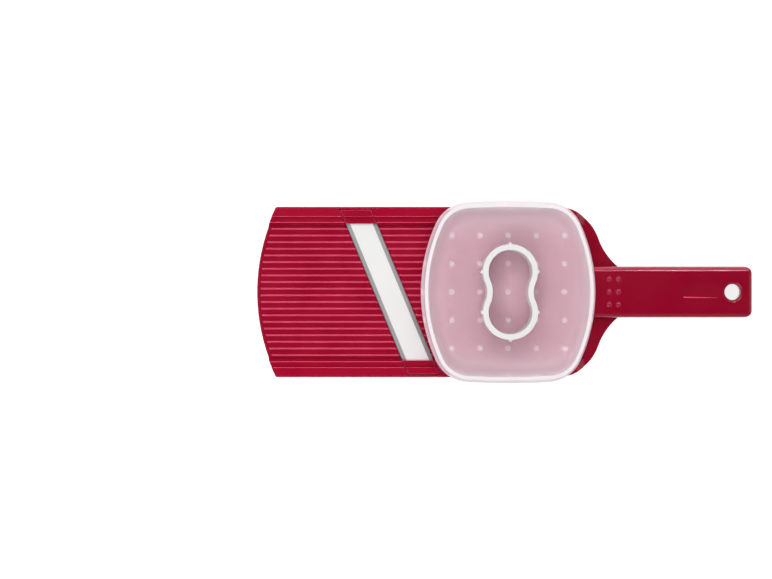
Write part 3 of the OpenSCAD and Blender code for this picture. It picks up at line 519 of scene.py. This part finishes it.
def solids_of(node):
    """The lowest and highest corner of each separate solid of a CAD node, in order of X."""
    work = bmesh.new()
    work.from_mesh(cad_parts[node].data)
    bmesh.ops.remove_doubles(work, verts=work.verts, dist=SAME_POINT)
    left = set(work.verts)
    found = []
    while left:
        group = {left.pop()}
        rim = list(group)
        while rim:
            near = {e.other_vert(v) for v in rim for e in v.link_edges} & left
            left -= near
            group |= near
            rim = list(near)
        found.append([
            Vector([pick(v.co[k] for v in group) for k in range(3)]) for pick in (min, max)
        ])
    work.free()
    return sorted(found, key=lambda pair: tuple(pair[0]))


CROWN = 0.25
RECESS_LENGTH = 1.24
RECESS_WIDTH = 0.32
RECESS_DEPTH = 1.2
HEAD_SIDES = 40
SHANK_SIDES = 32


def screw_tree():
    tree, size = new_geometry(
        "pan_screw",
        {
            "Head Radius": "Float", "Head Height": "Float",
            "Shank Radius": "Float", "Shank Length": "Float",
        },
    )
    head, height = size["Head Radius"], size["Head Height"]

    def drum(radius, depth, lift, sides):
        made = tree.node(
            "GeometryNodeMeshCylinder", {},
            {"Vertices": sides, "Radius": radius, "Depth": depth}, "Mesh",
        )
        up = tree.node("ShaderNodeCombineXYZ", {}, {"Z": lift})
        return tree.node("GeometryNodeTransform", {}, {"Geometry": made, "Translation": up})

    def recess(turn):
        wide = tree.node(
            "ShaderNodeCombineXYZ", {},
            {"X": head * RECESS_LENGTH, "Y": head * RECESS_WIDTH, "Z": height * RECESS_DEPTH},
        )
        cut = tree.node("GeometryNodeMeshCube", {}, {"Size": wide}, "Mesh")
        return tree.node(
            "GeometryNodeTransform", {}, {"Geometry": cut, "Rotation": (0, 0, math.radians(turn))}
        )

    def combined(operation, first, parts):
        made = tree.node("GeometryNodeMeshBoolean", {"operation": operation}, first)
        for part in parts:
            tree.put(made.socket.node, {"Mesh 2": part})
        return made

    crown = tree.node(
        "GeometryNodeMeshCone", {},
        {
            "Vertices": HEAD_SIDES, "Depth": height * CROWN,
            "Radius Top": head, "Radius Bottom": head * (1 - CROWN),
        },
        "Mesh",
    )
    brim = drum(head, height * (1 - CROWN), height * (0.5 + CROWN / 2), HEAD_SIDES)
    length = size["Shank Length"]
    shank = drum(size["Shank Radius"], length, height + 0.5 * length, SHANK_SIDES)
    whole = combined("UNION", {}, (crown, brim, shank))
    slotted = combined("DIFFERENCE", {"Mesh 1": whole}, (recess(0), recess(90)))
    set_out = tree.node(
        "GeometryNodeInstanceOnPoints", {}, {"Points": size["Geometry"], "Instance": slotted}
    )
    close_geometry(tree, set_out, STEEL)
    return tree


SCREW = screw_tree()
SHANK_RADIUS = 0.00097
PAN_HEIGHT = 0.0008


def screws(node, piece_name, body):
    """Screws in the places of those of a CAD node, heads down."""
    solids = solids_of(node)
    low, high = solids[0]
    spots = bpy.data.meshes.new(piece_name)
    spots.from_pydata([((a.x + b.x) / 2, (a.y + b.y) / 2, a.z) for a, b in solids], [], [])
    piece = grown(
        piece_name, SCREW, spots,
        {
            "Head Radius": (high.x - low.x) / 2, "Head Height": PAN_HEIGHT,
            "Shank Radius": SHANK_RADIUS, "Shank Length": high.z - low.z - PAN_HEIGHT,
        },
    )
    smooth(piece, 30)
    place_piece(piece, body, "steel", STEEL, node)


screws("clamp_screws", "clamp_pan_screws", "carrier")
screws("bearing_screws", "cap_pan_screws", "frame")
screws("spring_screw", "leaf_pan_screw", "frame")

# ---------------------------------------------------------------- Guard tray
# The food guard's body is one moulding in milky polypropylene that lets the red below shine
# through: a shallow dish with a flange round it and a skirt down each side. Its wall is seen
# edge on and looks whiter than its thin plate, which shows the marks of five ejector pins.
# The plate's pink is partly that red seen through it and partly a painted glow of it.

PLATE_TOP = 0.02636
PLATE_CLEAR = 0.0003
RIM_TOP = 0.03506
SKIRT_SIDE = 0.046
SKIRT_BLEND = 0.003
TRAY_HALF = 0.0465
EDGE_WHITE_START = 0.15
EDGE_WHITE_SHARE = 0.4
CORNER_POWER = 4
PIN_PITCH = 0.0154
DOT_RADIUS = 0.0018
DOT_EDGE = 0.0006
DOT_WHITE = 0.7
DOT_DENSE = 0.35
EJECTOR_MARKS = (
    (-0.0329, 0.034), (-0.0378, -0.0005), (0.0416, 0.0011), (0.0339, -0.0339), (0.0088, -0.0148)
)
MARK_RADIUS = 0.0021
MARK_LINE = 0.00035
MARK_DENSE = 0.4


def milky(centre):
    """Milky plastic: a thin mix for the plate, a dense white one for walls, dots and marks."""
    paint = Finish("milky_polypropylene", {"IOR": 1.25, "Transmission Weight": 0.56})
    cloud = paint.noise(35, 3)
    grain = paint.noise(3200, 2)
    plan = paint.node(
        "ShaderNodeVectorMath", {"operation": "MULTIPLY"}, {0: paint.place, 1: (1, 1, 0)}
    )

    def reach(place, spot):
        return paint.node(
            "ShaderNodeVectorMath", {"operation": "DISTANCE"}, {0: place, 1: (*spot, 0)}, "Value"
        )

    mark = 0.0
    for spot in EJECTOR_MARKS:
        mark = mark + paint.ramp(abs(reach(plan, spot) - MARK_RADIUS), MARK_LINE, 0)
    corner = Vector((PIN_PITCH / 2, PIN_PITCH / 2, 1))
    middle = Vector((centre.x, centre.y, 0))
    cell = paint.node(
        "ShaderNodeVectorMath", {"operation": "WRAP"},
        {0: plan, 1: middle - corner, 2: middle + corner},
    )
    dot = paint.ramp(reach(cell, (centre.x, centre.y)), DOT_RADIUS, DOT_RADIUS - DOT_EDGE)
    bowl = paint.ramp(paint.along("Z"), PLATE_TOP + PLATE_CLEAR, RIM_TOP)
    side = paint.ramp(abs(paint.along("Y")), SKIRT_SIDE - SKIRT_BLEND, SKIRT_SIDE)
    outward = sum(
        paint.math("POWER", abs(paint.along(axis) - centre[k]) * (1 / TRAY_HALF), CORNER_POWER)
        for k, axis in enumerate("XY")
    )
    # Whiter and denser towards the tray's outer edge.
    edge_white = paint.ramp(outward, EDGE_WHITE_START, 1) * EDGE_WHITE_SHARE
    wall = paint.math("MAXIMUM", paint.math("MAXIMUM", bowl, side), edge_white)
    # Painted glow: the plate's pink stands in for the red below shining through it.
    plate = paint.tint(cloud, (0.98, 0.68, 0.78), (0.99, 0.73, 0.82))
    dotted = paint.tint(dot * DOT_WHITE, plate, (1.0, 0.88, 0.92))
    even = {
        "Base Color": paint.tint(wall, dotted, (1.0, 0.94, 0.965)),
        "Roughness": 0.42 + 0.06 * cloud,
        "Normal": paint.relief(grain, 0.00001, 0.4),
    }
    dense = paint.node(
        "ShaderNodeBsdfPrincipled", {}, {"IOR": 1.25, "Transmission Weight": 0.06, **even}
    )
    share = wall + MARK_DENSE * mark + DOT_DENSE * dot
    blend = paint.node(
        "ShaderNodeMixShader", {}, {0: share, 1: Value(paint, paint.shader.outputs[0]), 2: dense}
    )
    paint.put(paint.tree.nodes["Material Output"], {"Surface": blend})
    return paint.finish(even)


pins_low, pins_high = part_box("guard_pins")
MILKY = milky((pins_low + pins_high) / 2)
tray = merged_copy("guard_tray", "food_guard_tray")
skirts = merged_copy("guard_skirts", "skirts")
weld = tray.modifiers.new("weld", "BOOLEAN")
weld.operation = "UNION"
weld.object = skirts
settled(tray)
bpy.data.objects.remove(skirts)
smooth(tray, 35)
place_piece(tray, "guard", "guard_plastic", MILKY, "guard_tray", "guard_skirts")

# ---------------------------------------------------------------- Food pins
# Twenty-five pointed pins below the plate hold the food. They are moulded in one with the
# tray, and where each one thickens the plate it shows through as a paler dot.

PIN_TIP = 0.00035
PIN_SET = 0.00003


def pin_tree(material):
    tree, size = new_geometry(
        "food_pin_grid",
        {
            "Rows": "Int", "Pitch": "Float", "Length": "Float", "Root Radius": "Float",
            "Tip Radius": "Float", "Centre": "Vector",
        },
    )
    side = size["Pitch"] * (size["Rows"] - 1)
    grid = tree.node(
        "GeometryNodeMeshGrid", {},
        {"Size X": side, "Size Y": side, "Vertices X": size["Rows"], "Vertices Y": size["Rows"]},
        "Mesh",
    )
    spots = tree.node("GeometryNodeMeshToPoints", {}, {"Mesh": grid})
    pin = tree.node(
        "GeometryNodeMeshCone", {},
        {
            "Vertices": 24, "Side Segments": 4, "Radius Top": size["Root Radius"],
            "Radius Bottom": size["Tip Radius"], "Depth": size["Length"],
        },
        "Mesh",
    )
    copies = tree.node("GeometryNodeInstanceOnPoints", {}, {"Points": spots, "Instance": pin})
    placed = tree.node(
        "GeometryNodeTransform", {}, {"Geometry": copies, "Translation": size["Centre"]}
    )
    close_geometry(tree, placed, material)
    return tree


def pin_white():
    paint = Finish("pin_polypropylene", {"IOR": 1.4, "Transmission Weight": 0.1})
    cloud = paint.noise(300, 2)
    return paint.finish(
        {
            "Base Color": paint.tint(cloud, (0.9, 0.88, 0.9), (0.95, 0.94, 0.95)),
            "Roughness": 0.45 + 0.1 * cloud,
        }
    )


pin_solids = solids_of("guard_pins")
first_low, first_high = pin_solids[0]
rows = round(math.sqrt(len(pin_solids)))
root = (first_high.x - first_low.x) / 2
PIN_WHITE = pin_white()
pins = grown(
    "food_pin_set", pin_tree(PIN_WHITE), bpy.data.meshes.new("food_pin_set"),
    {
        "Rows": rows, "Pitch": (pins_high.x - pins_low.x - 2 * root) / (rows - 1),
        "Length": pins_high.z - pins_low.z - PIN_SET, "Root Radius": root, "Tip Radius": PIN_TIP,
        "Centre": (*((pins_low + pins_high) / 2).xy, pins_low.z),
    },
)
smooth(pins, 40)
place_piece(pins, "guard", "grip_plastic", PIN_WHITE, "guard_pins")

# ---------------------------------------------------------------- Grip ring
# A waisted ring of opaque white plastic stands on the plate for the fingers to hold the guard
# by. Its top edges are rounded, and six slim uprights run down its outside.


def ring_white():
    paint = Finish("ring_white", {"IOR": 1.47, "Transmission Weight": 0.08})
    cloud = paint.noise(60, 3)
    grain = paint.noise(3000, 2)
    return paint.finish(
        {
            "Base Color": paint.tint(cloud, (0.94, 0.92, 0.93), (0.97, 0.96, 0.96)),
            "Roughness": 0.34 + 0.08 * cloud,
            "Normal": paint.relief(grain, 0.00002, 0.4),
        }
    )


refined("guard_grip", "grip_ring", "guard", "grip_plastic", ring_white(), 0.0005)

# ---------------------------------------------------------------- Floor
# A wide white table top. It is lit as the object is, and what the camera or a reflection sees
# of it gets a little glow, so that it reads as white and still keeps the shadow. The table
# close under the deck has no glow, because hardly any light reaches it.

FLOOR_SIZE = 8.0
FLOOR_DROP = 0.0001
FLOOR_GLOW = 0.75
SHADE_HALF = 0.0455
SHADE_MIDDLE = -0.041
SHADE_REACH = 0.08
SHADE_EDGE = 0.002


def ray(tree, kind):
    """1 on rays of a kind, 0 on the others."""
    return tree.node("ShaderNodeLightPath", {}, {}, "Is " + kind + " Ray")


def grey(tree, level):
    return tree.node(
        "ShaderNodeCombineColor", {}, {"Red": level, "Green": level, "Blue": level}
    )


def table_white():
    paint = Finish("table_white", {"Base Color": (0.8, 0.8, 0.8, 1), "Emission Strength": 1.0})
    beside = paint.ramp(abs(paint.along("Y")), SHADE_HALF, SHADE_HALF + SHADE_EDGE)
    middle = abs(paint.along("X") - SHADE_MIDDLE)
    past = paint.ramp(middle, SHADE_REACH, SHADE_REACH + SHADE_EDGE)
    open_table = paint.math("MAXIMUM", beside, past)
    mirrored = ray(paint, "Glossy") + ray(paint, "Transmission")
    seen = paint.math("MAXIMUM", mirrored, ray(paint, "Camera"))
    return paint.finish(
        {
            "Emission Color": grey(paint, seen * FLOOR_GLOW * open_table),
            "Roughness": 0.7 + 0.2 * paint.noise(40),
        }
    )


half = FLOOR_SIZE / 2
corners = ((-half, -half), (half, -half), (half, half), (-half, half))
floor_mesh = bpy.data.meshes.new("table_top")
floor_mesh.from_pydata([(x, y, -FLOOR_DROP) for x, y in corners], [], [(0, 1, 2, 3)])
floor_mesh.materials.append(table_white())
floor = bpy.data.objects.new("table_top", floor_mesh)
bpy.context.scene.collection.objects.link(floor)

# ---------------------------------------------------------------- Light
# A soft tent lights the slicer from the sides, and a box behind a polarising sheet lights it
# from above with no mirror image. A soft box above each rail draws the bright lines on ribs and
# edges, and three more light the handle's far edge.

TENT_LEVEL = 0.38
TENT_TOP = 0.0
TENT_EDGE = (0.82, 0.93)


def tent():
    world = bpy.data.worlds.new("tent")
    world.use_nodes = True
    tree = Tree(world.node_tree)
    way = tree.node("ShaderNodeTexCoord", {}, {}, "Generated")
    up = tree.node("ShaderNodeSeparateXYZ", {}, {"Vector": way}, "Z")
    top = tree.node(
        "ShaderNodeMapRange", {"interpolation_type": "SMOOTHSTEP"},
        {
            "Value": up, "From Min": TENT_EDGE[0], "From Max": TENT_EDGE[1],
            "To Min": TENT_LEVEL, "To Max": TENT_TOP,
        },
    )
    level = tree.math("MAXIMUM", top, ray(tree, "Camera"))
    tree.put(world.node_tree.nodes["Background"], {"Color": grey(tree, level)})
    bpy.context.scene.world = world


def soft_box(name, place, target, size, level, matt=True, gloss=True):
    """An area light whose face shines at `level`, where 1 is a white wall."""
    lamp = bpy.data.lights.new(name, "AREA")
    lamp.shape = "RECTANGLE"
    lamp.size, lamp.size_y = size
    lamp.energy = level * math.pi * size[0] * size[1]
    box = bpy.data.objects.new(name, lamp)
    box.location = place
    box.rotation_euler = (Vector(target) - Vector(place)).to_track_quat("-Z", "Y").to_euler()
    box.visible_camera = False
    box.visible_diffuse = matt
    box.visible_glossy = gloss
    bpy.context.scene.collection.objects.link(box)


tent()
soft_box("top_box", (-0.02, 0, 0.95), (-0.02, 0, 0), (0.9, 0.9), 1.0, gloss=False)
soft_box("far_box", (-0.2, 0.5, 0.78), (-0.1, 0, 0), (0.6, 0.28), 4.1)
soft_box("near_box", (-0.22, -0.5, 0.78), (-0.1, 0, 0), (0.56, 0.28), 4.3)
soft_box("handle_box", (0.38, 0.55, 0.75), (0.1, 0, 0), (0.4, 0.6), 0.8)
soft_box("low_box", (0.4, 0.95, 0.12), (0.1, 0, 0.02), (0.9, 0.22), 3.0)
soft_box("line_box", (0.27, 0.34, 0.9), (0.1, 0, 0), (0.16, 0.03), 90.0, matt=False)

# ---------------------------------------------------------------- Camera
# It looks straight down from 0.9 m above the rails, a little in front of the middle. At the
# height of the rails it sees a width of 0.42 m.

SENSOR = 36.0
VIEW_WIDTH = 0.4246
VIEW_DISTANCE = 0.9
AIM = (-0.06516, 0.00139)

camera_data = bpy.data.cameras.new("overhead")
camera_data.sensor_width = SENSOR
camera_data.lens = SENSOR * VIEW_DISTANCE / VIEW_WIDTH
camera = bpy.data.objects.new("overhead", camera_data)
camera.location = (*AIM, RAIL_TOP + VIEW_DISTANCE)
bpy.context.scene.collection.objects.link(camera)
bpy.context.scene.camera = camera
bpy.context.scene.view_settings.view_transform = "Standard"
